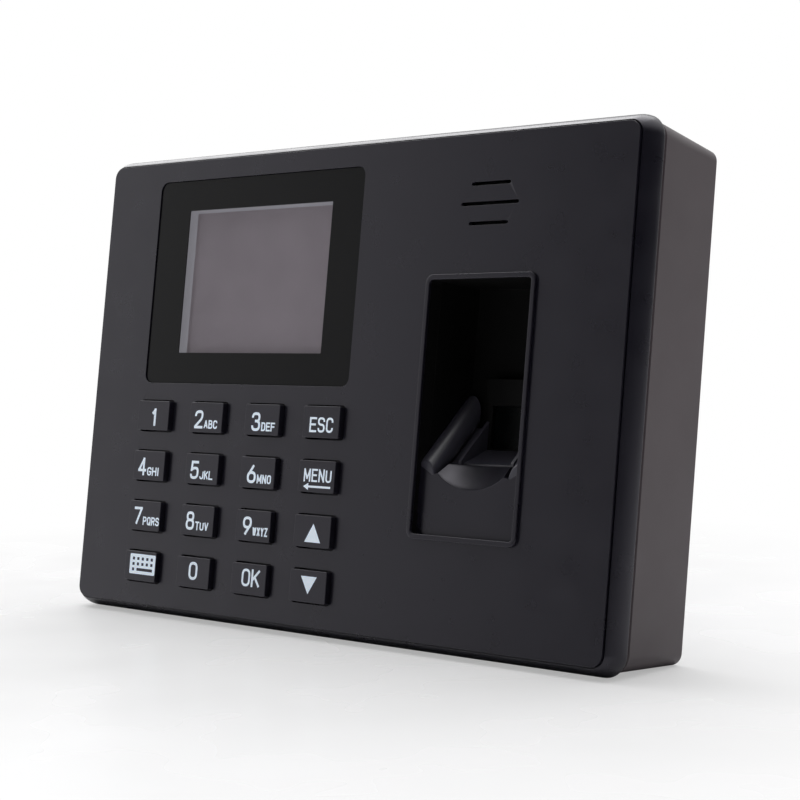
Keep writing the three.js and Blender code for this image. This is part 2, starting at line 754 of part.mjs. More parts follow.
function lockScrew() {
  const head = alongLock(LOCK.head, LOCK.end, LOCK.seat - 0.1);
  const drive = alongLock(1.2, LOCK.end - 1, LOCK.end + 1, 6);
  const thread = alongLock(1, LOCK.seat - 0.2, -49, 12);
  return head.subtract(drive).add(thread);
}

part("lock_screw", "steel", lockScrew());

export default terminal;
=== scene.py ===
import math
from collections import namedtuple

import bmesh
import bpy
from mathutils import Matrix, Vector

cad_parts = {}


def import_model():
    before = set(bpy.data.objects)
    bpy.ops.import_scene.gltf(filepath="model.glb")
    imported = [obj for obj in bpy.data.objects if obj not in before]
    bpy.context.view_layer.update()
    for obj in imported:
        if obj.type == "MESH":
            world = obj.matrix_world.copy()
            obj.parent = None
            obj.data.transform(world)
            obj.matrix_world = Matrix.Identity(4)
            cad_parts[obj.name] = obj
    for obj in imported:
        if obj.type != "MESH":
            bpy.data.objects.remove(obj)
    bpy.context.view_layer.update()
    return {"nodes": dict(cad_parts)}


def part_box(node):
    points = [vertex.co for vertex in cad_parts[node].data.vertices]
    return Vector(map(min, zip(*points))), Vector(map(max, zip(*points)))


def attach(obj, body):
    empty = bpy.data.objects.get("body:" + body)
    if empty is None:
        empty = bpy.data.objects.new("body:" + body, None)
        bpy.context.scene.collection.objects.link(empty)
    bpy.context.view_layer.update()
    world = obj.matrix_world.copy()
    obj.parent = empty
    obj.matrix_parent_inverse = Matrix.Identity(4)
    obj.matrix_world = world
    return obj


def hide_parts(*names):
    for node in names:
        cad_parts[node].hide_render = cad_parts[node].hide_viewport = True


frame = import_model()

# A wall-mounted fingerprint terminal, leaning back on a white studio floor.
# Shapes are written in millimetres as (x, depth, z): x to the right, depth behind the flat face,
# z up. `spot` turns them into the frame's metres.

MM = 0.001

# ---------------------------------------------------------------- places, from the frame

Rect = namedtuple("Rect", "x z width height radius")


def box(node):
    """Lowest and highest corner of a CAD node, in millimetres."""
    low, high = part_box(node)
    return Vector(low) / MM, Vector(high) / MM


def front_rect(node, radius, shrink=0.0):
    """A CAD node's front view as a rounded rectangle, `shrink` smaller on every side."""
    low, high = box(node)
    middle = (low + high) / 2
    size = high - low
    return Rect(middle.x, middle.z, size.x - 2 * shrink, size.z - 2 * shrink, radius)


WINDOW_SUNK = 0.6
FACE_Y = box("display_window")[0].y - WINDOW_SUNK

COVER_WALL = 2.0
GROOVE = 0.4
GROOVE_DEPTH = 1.0
GROOVE_BACK = 3.0
RIM_SPREAD = 1.95
RIM_LEAD = 0.5
RIM_RUN = 5.4
RIM_BACK = 6.1
RIM_START = math.radians(33)
FACE = front_rect("front_cover", 2.8, GROOVE + RIM_SPREAD)

SCREEN = front_rect("display_window", 2.2)
WINDOW_THICK = 1.0
PANEL = front_rect("lcd_panel", 0.4)
VIEW = Rect(PANEL.x + 0.3, PANEL.z - 0.1, 52.0, 37.2, 0.3)

KEY_WIDTH = 12.2
KEY_HEIGHT = 7.65
KEY_RADIUS = 0.45
KEY_GAP = 0.35

WELL_WALL = 1.6
well_low, well_high = box("finger_well")
WELL_HEIGHT = 58.3
WELL = Rect(
    (well_low.x + well_high.x) / 2,
    well_high.z - WELL_WALL - WELL_HEIGHT / 2,
    well_high.x - well_low.x - 2 * WELL_WALL,
    WELL_HEIGHT,
    0.9,
)
LIP_WIDTH = 1.2
LIP_PROUD = 0.7
LINER_FRONT = 0.1
SILL_TOP = -17.0
SILL_DEPTH = 1.4
SILL_BACK = 7.3
SCOOP_RADIUS = 15.6
SCOOP_Z = -7.2
SCOOP_HALF = 9.7
NOTCH = ((SCOOP_HALF, -19.4), (11.5, -19.8), (14.85, -17.9))
RIDGE_OFFSET = 13.75
RIDGE_Z = -21.1
RIDGE_RADIUS = 3.0
RIDGE_SLOPE = math.radians(47.5)
POCKET_HALF = 7.25

SPEAKER = front_rect("speaker_cloth", 13.0)
SLOT_LENGTHS = (11.4, 16.8, 11.4)
SLOT_PITCH = 4.55
SLOT_HEIGHT = 0.85


def spot(point):
    """A point (x, depth, z) in millimetres as a place in the frame."""
    x, depth, z = point
    return Vector((x, FACE_Y + depth, z)) * MM


# ---------------------------------------------------------------- outlines and meshes


def outline(rect, grow=0.0, steps=8):
    """A rounded rectangle as (x, z) points, anticlockwise from the right edge."""
    radius = max(rect.radius + grow, 0.02)
    half_x = rect.width / 2 + grow - radius
    half_z = rect.height / 2 + grow - radius
    points = []
    for quarter, (side_x, side_z) in enumerate(((1, 1), (-1, 1), (-1, -1), (1, -1))):
        for step in range(steps + 1):
            turn = (quarter + step / steps) * math.pi / 2
            x = rect.x + side_x * half_x + radius * math.cos(turn)
            z = rect.z + side_z * half_z + radius * math.sin(turn)
            points.append((x, z))
    return points


def rounded(points, radius, steps=3, closed=True):
    """A polyline with every corner turned into an arc of up to this radius."""
    result = []
    count = len(points)
    for index in range(count):
        if not closed and index in (0, count - 1):
            result.append(tuple(points[index]))
            continue
        corner = Vector(points[index])
        before = Vector(points[index - 1]) - corner
        after = Vector(points[(index + 1) % count]) - corner
        before_share = 0.98 if not closed and index == 1 else 0.49
        after_share = 0.98 if not closed and index == count - 2 else 0.49
        reach = min(radius, before_share * before.length, after_share * after.length)
        start = corner + before.normalized() * reach
        end = corner + after.normalized() * reach
        for step in range(steps + 1):
            t = step / steps
            result.append(tuple(start * (1 - t) ** 2 + corner * 2 * t * (1 - t) + end * t * t))
    return result


def add_piece(name, mesh, material, nodes=(), body="case"):
    """Places a mesh in the scene as a smooth-shaded piece that rides on a body."""
    mesh.materials.clear()
    mesh.materials.append(material)
    mesh.polygons.foreach_set("use_smooth", [True] * len(mesh.polygons))
    piece = bpy.data.objects.new(name, mesh)
    bpy.context.scene.collection.objects.link(piece)
    shading = piece.modifiers.new("even shading", "WEIGHTED_NORMAL")
    shading.keep_sharp = True
    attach(piece, body)
    if nodes:
        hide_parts(*nodes)
    return piece


SHARP_ANGLE = math.radians(35)
WELD_DISTANCE = 0.002


def tidy_mesh(shape):
    """Merges coincident points, faces everything outwards and marks hard edges."""
    bmesh.ops.remove_doubles(shape, verts=shape.verts, dist=WELD_DISTANCE * MM)
    bmesh.ops.recalc_face_normals(shape, faces=shape.faces)
    for edge in shape.edges:
        if len(edge.link_faces) == 2 and edge.calc_face_angle() > SHARP_ANGLE:
            edge.smooth = False


def loft(name, rings, loop=False):
    """A mesh through rings of (x, depth, z) points, capped at both ends or joined in a loop."""
    shape = bmesh.new()
    rows = [[shape.verts.new(spot(point)) for point in ring] for ring in rings]
    count = len(rings[0])
    last = len(rows) if loop else len(rows) - 1
    for index in range(last):
        near = rows[index]
        far = rows[(index + 1) % len(rows)]
        for step in range(count):
            after = (step + 1) % count
            shape.faces.new((near[step], near[after], far[after], far[step]))
    if not loop:
        shape.faces.new(rows[0])
        shape.faces.new(rows[-1])
    tidy_mesh(shape)
    mesh = bpy.data.meshes.new(name)
    shape.to_mesh(mesh)
    shape.free()
    return mesh


def frame_ring(name, rect, profile, steps):
    """A closed (grow, depth) profile carried round a rounded rectangle."""
    rings = [[(x, depth, z) for x, z in outline(rect, grow, steps)] for grow, depth in profile]
    return loft(name, rings, loop=True)


def stacked(name, rect, profile, steps=8):
    """A solid whose rounded outline follows an open (grow, depth) profile from front to back."""
    return loft(name, [[(x, depth, z) for x, z in outline(rect, grow, steps)] for grow, depth in profile])


def pierced_plate(name, outlines, near, far, bevel=0.0):
    """A flat plate from closed (x, z) outlines, the first outside and the rest holes."""
    curve = bpy.data.curves.new(name, "CURVE")
    curve.dimensions = "2D"
    curve.fill_mode = "BOTH"
    curve.extrude = ((far - near) / 2 - bevel) * MM
    curve.bevel_depth = bevel * MM
    curve.bevel_resolution = 2
    curve.offset = -bevel * MM
    for points in outlines:
        spline = curve.splines.new("POLY")
        spline.points.add(len(points) - 1)
        for point, (x, z) in zip(spline.points, points):
            point.co = (x * MM, z * MM, 0, 1)
        spline.use_cyclic_u = True
    return curve_mesh(curve, (near + far) / 2)


def curve_mesh(curve, depth):
    """A flat curve or text as a mesh, stood upright at this depth."""
    holder = bpy.data.objects.new(curve.name, curve)
    bpy.context.scene.collection.objects.link(holder)
    graph = bpy.context.evaluated_depsgraph_get()
    mesh = bpy.data.meshes.new_from_object(holder.evaluated_get(graph))
    bpy.data.objects.remove(holder)
    upright = Matrix.Rotation(math.pi / 2, 4, "X")
    mesh.transform(Matrix.Translation((0, (FACE_Y + depth) * MM, 0)) @ upright)
    shape = bmesh.new()
    shape.from_mesh(mesh)
    tidy_mesh(shape)
    shape.to_mesh(mesh)
    shape.free()
    return mesh


def joined(name, meshes):
    """Several meshes as one."""
    shape = bmesh.new()
    for mesh in meshes:
        shape.from_mesh(mesh)
    result = bpy.data.meshes.new(name)
    shape.to_mesh(result)
    shape.free()
    return result


# ---------------------------------------------------------------- material helpers

# Edges lightened partly as real wear and partly as a painted highlight: the reach in millimetres, how far
# the rounded and true normals agree at a sharp edge and on a flat, and how much brighter the lightened
# colour is.
WEAR_AND_HIGHLIGHT_REACH = 0.35
WEAR_AND_HIGHLIGHT_EDGE = 0.75
WEAR_AND_HIGHLIGHT_FLAT = 0.995
WEAR_AND_HIGHLIGHT_BRIGHTNESS = 3.0


def linear(red, green, blue):
    """A colour given in 0-255 display values, as the renderer's linear colour."""

    def channel(value):
        value /= 255
        return value / 12.92 if value <= 0.04045 else ((value + 0.055) / 1.055) ** 2.4

    return (channel(red), channel(green), channel(blue), 1.0)


def shade(colour, factor):
    """A colour made lighter or darker."""
    return tuple(min(1.0, value * factor) for value in colour[:3]) + (1.0,)


def add_node(tree, kind, inputs=None, **settings):
    """A shader node with its settings and its inputs, each a value or another node's output."""
    item = tree.nodes.new(kind)
    for name, value in settings.items():
        setattr(item, name, value)
    for name, value in (inputs or {}).items():
        if isinstance(value, bpy.types.NodeSocket):
            tree.links.new(value, item.inputs[name])
        else:
            item.inputs[name].default_value = value
    return item


def new_material(name):
    """An empty node material."""
    material = bpy.data.materials.new(name)
    material.use_nodes = True
    tree = material.node_tree
    tree.nodes.clear()
    return material, tree


def noise(tree, size, detail=2.0, stretch=(1, 1, 1)):
    """Noise from 0 to 1 whose grains measure `size` millimetres."""
    coordinates = add_node(tree, "ShaderNodeTexCoord").outputs["Object"]
    scaled = add_node(tree, "ShaderNodeMapping", {"Vector": coordinates, "Scale": stretch})
    settings = {"Vector": scaled.outputs["Vector"], "Scale": 1 / (size * MM), "Detail": detail}
    return add_node(tree, "ShaderNodeTexNoise", settings).outputs["Fac"]


def remap(tree, value, low, high, from_low=0.3, from_high=0.7):
    """A value stretched from one range to another and held at its ends."""
    settings = {
        "Value": value,
        "From Min": from_low,
        "From Max": from_high,
        "To Min": low,
        "To Max": high,
    }
    return add_node(tree, "ShaderNodeMapRange", settings).outputs["Result"]


def mix_colour(tree, factor, first, second):
    """A blend of two colours, each a value or another node's output."""
    item = tree.nodes.new("ShaderNodeMix")
    item.data_type = "RGBA"
    for socket, value in ((0, factor), (6, first), (7, second)):
        if isinstance(value, bpy.types.NodeSocket):
            tree.links.new(value, item.inputs[socket])
        else:
            item.inputs[socket].default_value = value
    return item.outputs[2]


def wear_and_highlight_mask(tree, strength):
    """`strength` along edges and 0 on flats, broken up by noise, for edges lightened as wear and as a
    painted highlight.
    """
    soft = add_node(tree, "ShaderNodeBevel", {"Radius": WEAR_AND_HIGHLIGHT_REACH * MM}, samples=4).outputs["Normal"]
    true = add_node(tree, "ShaderNodeNewGeometry").outputs["Normal"]
    dot = add_node(tree, "ShaderNodeVectorMath", operation="DOT_PRODUCT")
    tree.links.new(soft, dot.inputs[0])
    tree.links.new(true, dot.inputs[1])
    bend = remap(tree, dot.outputs["Value"], strength, 0.0, WEAR_AND_HIGHLIGHT_EDGE, WEAR_AND_HIGHLIGHT_FLAT)
    worn_and_lit = add_node(tree, "ShaderNodeMath", operation="MULTIPLY")
    tree.links.new(bend, worn_and_lit.inputs[0])
    tree.links.new(remap(tree, noise(tree, 3.0), 0.3, 1.0), worn_and_lit.inputs[1])
    return worn_and_lit.outputs["Value"]


def bump(tree, height, depth):
    """A surface normal from a height of 0 to 1 that stands for `depth` millimetres."""
    settings = {"Height": height, "Distance": depth * MM, "Strength": 1.0}
    return add_node(tree, "ShaderNodeBump", settings).outputs["Normal"]


def surface(tree, colour, roughness, normal=None, **extra):
    """The Principled shader, linked to the material's output."""
    inputs = {"Base Color": colour, "Roughness": roughness}
    if normal is not None:
        inputs["Normal"] = normal
    for name, value in extra.items():
        inputs[name.replace("_", " ")] = value
    shader = add_node(tree, "ShaderNodeBsdfPrincipled", inputs)
    output = tree.nodes.new("ShaderNodeOutputMaterial")
    tree.links.new(shader.outputs["BSDF"], output.inputs["Surface"])
    return shader


def moulded(name, colour, roughness, grain=0.35, mottle=0.06, edge_wear_and_highlight=0.35, **extra):
    """Moulded plastic: a fine spark-eroded grain, faint mottling, uneven gloss, and edges lightened partly
    as rubbed wear and partly as a painted highlight.
    """
    material, tree = new_material(name)
    cloudy = remap(tree, noise(tree, 28.0), 0.0, 1.0)
    tint = mix_colour(tree, cloudy, shade(colour, 1 - mottle), shade(colour, 1 + mottle))
    # Edges lightened: partly rubbed wear, partly a painted highlight.
    if edge_wear_and_highlight:
        tint = mix_colour(tree, wear_and_highlight_mask(tree, edge_wear_and_highlight), tint, shade(colour, WEAR_AND_HIGHLIGHT_BRIGHTNESS))
    gloss = remap(tree, noise(tree, 9.0, 4.0), roughness - 0.04, roughness + 0.04)
    surface(tree, tint, gloss, bump(tree, noise(tree, grain, 3.0), 0.006), **extra)
    return material


# ---------------------------------------------------------------- materials


def printed_ink(name, colour):
    """Screen-printed ink: slightly uneven in density, with a faint painted glow of its own colour."""
    material, tree = new_material(name)
    density = remap(tree, noise(tree, 0.6, 3.0), 0.0, 1.0)
    tint = mix_colour(tree, density, shade(colour, 0.92), shade(colour, 1.05))
    gloss = remap(tree, noise(tree, 0.3), 0.5, 0.62)
    # Painted glow: the ink gives off a little light of its own, though it is no lamp.
    glow = {"Emission_Color": colour, "Emission_Strength": 0.22}
    surface(tree, tint, gloss, bump(tree, noise(tree, 0.12), 0.002), **glow)
    return material


def clear_glass(name):
    """A thin clear window that dims what lies behind it by a trace of smearing."""
    material, tree = new_material(name)
    smear = remap(tree, noise(tree, 12.0, 4.0), 0.0, 1.0)
    tint = mix_colour(tree, smear, (0.93, 0.93, 0.94, 1.0), (0.96, 0.96, 0.97, 1.0))
    through = add_node(tree, "ShaderNodeBsdfTransparent", {"Color": tint})
    output = tree.nodes.new("ShaderNodeOutputMaterial")
    tree.links.new(through.outputs[0], output.inputs["Surface"])
    return material


def glossy_sheet(name, colour, roughness, **extra):
    """A smooth glossy sheet with a trace of smearing."""
    material, tree = new_material(name)
    cloudy = remap(tree, noise(tree, 16.0), 0.0, 1.0)
    tint = mix_colour(tree, cloudy, shade(colour, 0.96), shade(colour, 1.04))
    gloss = remap(tree, noise(tree, 5.0, 4.0), roughness * 0.8, roughness * 1.3)
    surface(tree, tint, gloss, bump(tree, noise(tree, 8.0), 0.0005), **extra)
    return material


def display_sheet(name, colour, glow):
    """The display's front film, with a faint painted glow that stands in for light on it."""
    painted_glow = {"Emission_Color": shade(colour, 1 / max(colour[:3])), "Emission_Strength": glow}
    return glossy_sheet(name, colour, 0.1, Specular_IOR_Level=0.1, **painted_glow)


def metal(name, colour, roughness, stretch=(1, 1, 12)):
    """Brushed or plated metal: streaks in gloss and height."""
    material, tree = new_material(name)
    streaks = noise(tree, 0.5, 4.0, stretch)
    tint = mix_colour(tree, streaks, shade(colour, 0.85), colour)
    gloss = remap(tree, streaks, roughness - 0.08, roughness + 0.1)
    surface(tree, tint, gloss, bump(tree, streaks, 0.004), Metallic=1.0)
    return material


def circuit_board(name):
    """Green solder mask over copper tracks that run along both axes."""
    material, tree = new_material(name)
    across = noise(tree, 1.4, 0.0, (1, 1, 0.08))
    along = noise(tree, 1.4, 0.0, (0.08, 1, 1))
    either = add_node(tree, "ShaderNodeMath", operation="MAXIMUM")
    tree.links.new(across, either.inputs[0])
    tree.links.new(along, either.inputs[1])
    track = remap(tree, either.outputs["Value"], 0.0, 1.0, 0.6, 0.63)
    tint = mix_colour(tree, track, linear(18, 58, 36), linear(44, 104, 58))
    gloss = remap(tree, noise(tree, 4.0), 0.28, 0.42)
    surface(tree, tint, gloss, bump(tree, track, 0.02), Coat_Weight=0.4)
    return material


def woven(name, colour):
    """A fine plain weave of crossing threads, darker where the threads dip as painted shade."""
    thread = 0.5
    material, tree = new_material(name)
    coordinates = add_node(tree, "ShaderNodeTexCoord").outputs["Object"]
    bands = []
    for direction in ("X", "Z"):
        settings = {"Vector": coordinates, "Scale": 0.3 / (thread * MM), "Distortion": 0.4}
        wave = add_node(tree, "ShaderNodeTexWave", settings, bands_direction=direction)
        bands.append(wave.outputs["Fac"])
    crossing = add_node(tree, "ShaderNodeMath", operation="MULTIPLY")
    tree.links.new(bands[0], crossing.inputs[0])
    tree.links.new(bands[1], crossing.inputs[1])
    height = crossing.outputs["Value"]
    # Painted shade: the colour darkens where the threads dip.
    tint = mix_colour(tree, height, shade(colour, 0.4), shade(colour, 1.4))
    surface(tree, tint, 0.95, bump(tree, height, 0.08))
    return material


COOL = {"Specular_Tint": (0.93, 0.9, 1.0, 1.0)}

MATERIALS = {
    "cover_plastic": moulded("cover_plastic", linear(21, 20, 28), 0.3, 0.35, 0.04, 0.25, **COOL),
    "shell_plastic": moulded("shell_plastic", linear(72, 63, 67), 0.45, 0.5, edge_wear_and_highlight=0.4),
    "key_plastic": moulded("key_plastic", linear(24, 23, 31), 0.36, edge_wear_and_highlight=0.5, **COOL),
    # Near-black: dark plastic whose colour also carries painted shade deep in the finger opening.
    "well_plastic": moulded("well_plastic", linear(6, 6, 6), 0.6, edge_wear_and_highlight=0.0, Specular_IOR_Level=0.2),
    "guide_plastic": moulded("guide_plastic", linear(62, 61, 70), 0.34, grain=0.5, edge_wear_and_highlight=0.6),
    "socket_plastic": moulded("socket_plastic", linear(24, 24, 25), 0.5),
    "chip_plastic": moulded("chip_plastic", linear(26, 26, 27), 0.55, grain=0.2),
    "silicone": moulded("silicone", linear(120, 118, 114), 0.75, grain=0.8, edge_wear_and_highlight=0.0),
    "light_guide": moulded("light_guide", linear(205, 208, 210), 0.3, grain=1.2, edge_wear_and_highlight=0.0),
    "cone_film": moulded("cone_film", linear(58, 54, 50), 0.7, grain=0.6, edge_wear_and_highlight=0.0),
    "wire_jacket": moulded("wire_jacket", linear(90, 20, 18), 0.45, edge_wear_and_highlight=0.0),
    "flat_cable": moulded("flat_cable", linear(170, 104, 34), 0.4, edge_wear_and_highlight=0.0),
    "window_lens": clear_glass("window_lens"),
    "window_print": glossy_sheet("window_print", linear(24, 24, 25), 0.1, Specular_IOR_Level=0.1),
    # The display's glass and film carry a painted glow, though they are no lamp.
    "lcd_glass": display_sheet("lcd_glass", linear(104, 103, 107), 0.195),
    "lcd_polariser": display_sheet("lcd_polariser", linear(112, 106, 110), 0.075),
    "scanner_glass": glossy_sheet("scanner_glass", linear(6, 9, 9), 0.25, Specular_IOR_Level=0.15),
    "plated_steel": metal("plated_steel", linear(190, 192, 196), 0.28),
    "plate_steel": metal("plate_steel", linear(178, 180, 182), 0.4, (12, 1, 1)),
    "screw_steel": metal("screw_steel", linear(150, 150, 154), 0.32, (1, 1, 1)),
    "circuit_board": circuit_board("circuit_board"),
    "dust_cloth": woven("dust_cloth", linear(16, 16, 16)),
    "legend_ink": printed_ink("legend_ink", linear(226, 238, 252)),
}


# ---------------------------------------------------------------- front cover


def key_names():
    """The CAD nodes of the key caps."""
    return [name for name in frame["nodes"] if name.startswith("key_")]


def key_rect(node):
    """The cap's front view: the middle of the CAD key at the cap's own size."""
    flange = front_rect(node, KEY_RADIUS)
    return Rect(flange.x, flange.z, KEY_WIDTH, KEY_HEIGHT, KEY_RADIUS)


def speaker_slots():
    """The three sound slots, a long one between two short ones."""
    rects = []
    for row, length in enumerate(SLOT_LENGTHS):
        z = SPEAKER.z + (1 - row) * SLOT_PITCH
        rects.append(Rect(SPEAKER.x, z, length, SLOT_HEIGHT, SLOT_HEIGHT / 2))
    return rects


def face_plate():
    """The flat face with its holes for keys, screen, speaker and finger."""
    holes = [outline(SCREEN, 0.15), outline(WELL, LIP_WIDTH / 2)]
    holes += [outline(key_rect(name), KEY_GAP, 5) for name in key_names()]
    holes += [outline(slot, 0.0, 6) for slot in speaker_slots()]
    return pierced_plate("face_plate", [outline(FACE, 0.08)] + holes, 0.0, COVER_WALL, 0.07)


def rim():
    """The groove's floor and the curved rim that falls away behind it."""
    steps = 14
    curve = []
    for step in range(1, steps + 1):
        turn = RIM_START + step / steps * (math.pi / 2 - RIM_START)
        out = (math.sin(turn) - math.sin(RIM_START)) / (1 - math.sin(RIM_START))
        fall = 1 - math.cos(turn) / math.cos(RIM_START)
        curve.append((GROOVE + RIM_SPREAD * out, RIM_LEAD + RIM_RUN * fall))
    inside = [
        (GROOVE, RIM_BACK),
        (GROOVE, GROOVE_BACK),
        (-1.0, GROOVE_BACK),
        (-1.0, GROOVE_DEPTH),
        (GROOVE, GROOVE_DEPTH),
    ]
    crest = [(GROOVE, RIM_LEAD + 0.25), (GROOVE + 0.04, RIM_LEAD + 0.08)]
    corner = [(GROOVE + RIM_SPREAD, RIM_BACK - 0.5), (GROOVE + RIM_SPREAD, RIM_BACK), (GROOVE, RIM_BACK)]
    back = rounded(corner, 0.2, 4, closed=False)[1:-1]
    return frame_ring("rim", FACE, crest + curve + back + inside, 12)


def screen_seat():
    """The frame that the window is glued to."""
    back = WINDOW_SUNK + WINDOW_THICK + 0.15
    window = Rect(VIEW.x, VIEW.z, 61.0, 44.0, 0.6)
    return pierced_plate("screen_seat", [outline(SCREEN, 1.8), outline(window)], back, back + 1.6)


def well_lip():
    """The narrow raised border round the finger opening."""
    section = [(0.0, LINER_FRONT), (0.0, -LIP_PROUD), (LIP_WIDTH, -LIP_PROUD), (LIP_WIDTH, LINER_FRONT)]
    return frame_ring("well_lip", WELL, rounded(section, 0.2, 4), 10)


def well_shade_liner():
    """A near-black sleeve inside the finger opening: a dark sheet that paints the shade on the opening's
    inner walls.
    """
    section = [(0.05, LINER_FRONT), (0.05, 3.6), (LIP_WIDTH, 3.6), (LIP_WIDTH, LINER_FRONT)]
    return frame_ring("well_shade_liner", WELL, section, 10)


def sill_edge(offset):
    """Height of the sunk plate's front edge, and of the ledge behind it, this far from the middle."""
    offset = abs(offset)
    if offset < SCOOP_HALF:
        return SCOOP_Z - math.sqrt(SCOOP_RADIUS**2 - offset**2), SILL_TOP
    for (start, low), (end, high) in zip(NOTCH, NOTCH[1:]):
        if offset <= end:
            height = low + (high - low) * (offset - start) / (end - start)
            return height, height
    return NOTCH[-1][1], NOTCH[-1][1]


def sill():
    """The sunk plate, its scoop for the fingertip and the ledge behind, lofted from left to right."""
    half = WELL.width / 2 + 0.2
    bottom = WELL.z - WELL.height / 2 - 0.2
    steps = 30
    offsets = [SCOOP_HALF * (2 * step / steps - 1) for step in range(steps + 1)]
    outer = [SCOOP_HALF + 0.02, NOTCH[1][0] - 0.1, NOTCH[1][0], NOTCH[1][0] + 0.1, NOTCH[2][0], half]
    offsets = [-place for place in reversed(outer)] + offsets + outer
    rings = []
    for offset in offsets:
        edge, top = sill_edge(offset)
        fall = top - edge
        profile = [
            (SILL_DEPTH, bottom),
            (SILL_DEPTH, edge - 0.25),
            (SILL_DEPTH + 0.04, edge - 0.03),
            (SILL_DEPTH + 0.1 + 0.15 * fall, edge + 0.12 * fall),
            (SILL_DEPTH + 0.1 + 0.9 * fall, edge + 0.9 * fall),
            (SILL_DEPTH + 0.2 + fall, top),
            (SILL_BACK, top),
            (SILL_BACK, SILL_TOP - 7.5),
            (SILL_DEPTH + 2, SILL_TOP - 7.5),
            (SILL_DEPTH + 2, bottom),
        ]
        rings.append([(WELL.x + offset, depth, z) for depth, z in profile])
    return loft("sill", rings)


cover_mesh = joined("front_cover_skin", [face_plate(), rim(), screen_seat(), well_lip(), sill()])
add_piece("front_cover_skin", cover_mesh, MATERIALS["cover_plastic"], ["front_cover"])
add_piece("well_shade_liner", well_shade_liner(), MATERIALS["well_plastic"])


# ---------------------------------------------------------------- display


def display():
    """The clear window, the printed border on its front, and the panel's front film."""
    near = WINDOW_SUNK
    far = WINDOW_SUNK + WINDOW_THICK
    lens = stacked("display_lens", SCREEN, [(-0.15, near), (0.0, near + 0.15), (0.0, far)])
    add_piece("display_lens", lens, MATERIALS["window_lens"], ["display_window"])
    mask = pierced_plate("display_mask", [outline(SCREEN), outline(VIEW)], near - 0.25, near - 0.02)
    add_piece("display_mask", mask, MATERIALS["window_print"])
    panel_front = box("lcd_panel")[0].y - FACE_Y
    sheet = Rect(PANEL.x + 1.6, PANEL.z - 0.7, PANEL.width - 7.4, PANEL.height - 5.6, 0.3)
    sheet_mesh = stacked("lcd_polariser", sheet, [(0.0, panel_front - 0.2), (0.0, panel_front - 0.02)])
    add_piece("lcd_polariser", sheet_mesh, MATERIALS["lcd_polariser"])


display()

# ---------------------------------------------------------------- finger guide


GLASS_DEPTH = box("scanner_window")[0].y - FACE_Y


def ridge(side):
    """A round bar that slopes up and back from behind the sunk plate, cut off upright at both ends."""
    near = SILL_DEPTH + 0.1
    back = GLASS_DEPTH - 0.1
    tall = RIDGE_RADIUS / math.cos(RIDGE_SLOPE)
    limit = WELL.width / 2 + 0.1
    sides = 48
    rings = []
    for depth, scale in ((near, 0.93), (near + 0.08, 0.98), (near + 0.25, 1.0), (back, 1.0)):
        z = RIDGE_Z + (depth - SILL_DEPTH) * math.tan(RIDGE_SLOPE)
        ring = []
        for step in range(sides):
            turn = 2 * math.pi * step / sides
            offset = min(RIDGE_OFFSET + RIDGE_RADIUS * scale * math.cos(turn), limit)
            ring.append((WELL.x + side * offset, depth, z + tall * scale * math.sin(turn)))
        rings.append(ring)
    return loft("ridge", rings)


def between(name, profile, left, right):
    """A side-view (depth, z) profile carried from left to right."""
    return loft(name, [[(x, depth, z) for depth, z in profile] for x in (left, right)])


def guide_bed():
    """The sloping floor between the ridges, and the cheeks that carry them."""
    front = SILL_BACK + 0.3
    back = GLASS_DEPTH - 0.1
    base = SILL_TOP - 8.2
    half = WELL.width / 2 - 0.1
    floor_profile = rounded([(front, base), (back, base), (back, -12.5), (front, -16.6)], 0.2)
    parts = [between("bed", floor_profile, WELL.x - half, WELL.x + half)]
    rise = math.tan(RIDGE_SLOPE)
    top_front = RIDGE_Z - 0.6 + (front - SILL_DEPTH - 1.0) * rise
    top_back = RIDGE_Z - 0.6 + (back - SILL_DEPTH) * rise
    fin_half = POCKET_HALF + 0.8
    for side in (-1, 1):
        for drop, inner, outer in ((0.0, POCKET_HALF, fin_half), (2.5, fin_half - 0.1, half)):
            top = [(back, top_back - drop), (front - 1.0, top_front - drop)]
            cheek = rounded([(front - 1.0, base), (back, base)] + top, 0.2)
            parts.append(between("cheek", cheek, WELL.x + side * inner, WELL.x + side * outer))
        parts.append(ridge(side))
    return joined("finger_rest", parts)


def window_frame():
    """The dark frame round the scanner's window, with a brow above it."""
    back = GLASS_DEPTH - 0.05
    half = POCKET_HALF + 0.6
    top = 3.6
    sill_line = -12.6
    brow = -2.6
    outside = [
        (WELL.x - half, sill_line - 2.0),
        (WELL.x + half, sill_line - 2.0),
        (WELL.x + half, top),
        (WELL.x - half, top),
    ]
    window = [
        (WELL.x - 6.5, sill_line),
        (WELL.x + 6.5, sill_line),
        (WELL.x + 6.5, brow),
        (WELL.x - 6.5, brow),
    ]
    plate = pierced_plate("plate", [outside, window], back - 1.0, back, 0.1)
    ledge = [
        (WELL.x - half + 1.6, brow),
        (WELL.x + half, brow),
        (WELL.x + half, top),
        (WELL.x - half, top),
        (WELL.x - half, brow + 1.6),
    ]
    return joined("window_frame", [plate, pierced_plate("brow", [ledge], back - 2.0, back - 0.9, 0.1)])


add_piece("finger_rest", guide_bed(), MATERIALS["guide_plastic"], ["finger_guide"])
add_piece("window_frame", window_frame(), MATERIALS["well_plastic"])

# ---------------------------------------------------------------- keys


def key_cap(name):
    """A cap with softened edges on a wider flange that stops it in its hole."""
    rect = key_rect(name)
    low, high = box(name)
    flange_x = (high.x - low.x - rect.width) / 2
    front = low.y - FACE_Y
    back = high.y - FACE_Y
    soft = 0.16
    profile = []
    for step in range(5):
        turn = step / 4 * math.pi / 2
        profile.append((soft * (math.sin(turn) - 1), front + soft * (1 - math.cos(turn))))
    profile += [(0.0, back - 1.0), (flange_x, back - 1.0), (flange_x, back)]
    return stacked("cap_" + name, rect, profile, 5)


INK = 0.02
INK_STEP = 0.002
LEGEND_SHIFT = Vector((1.25, 0.0, -0.12))

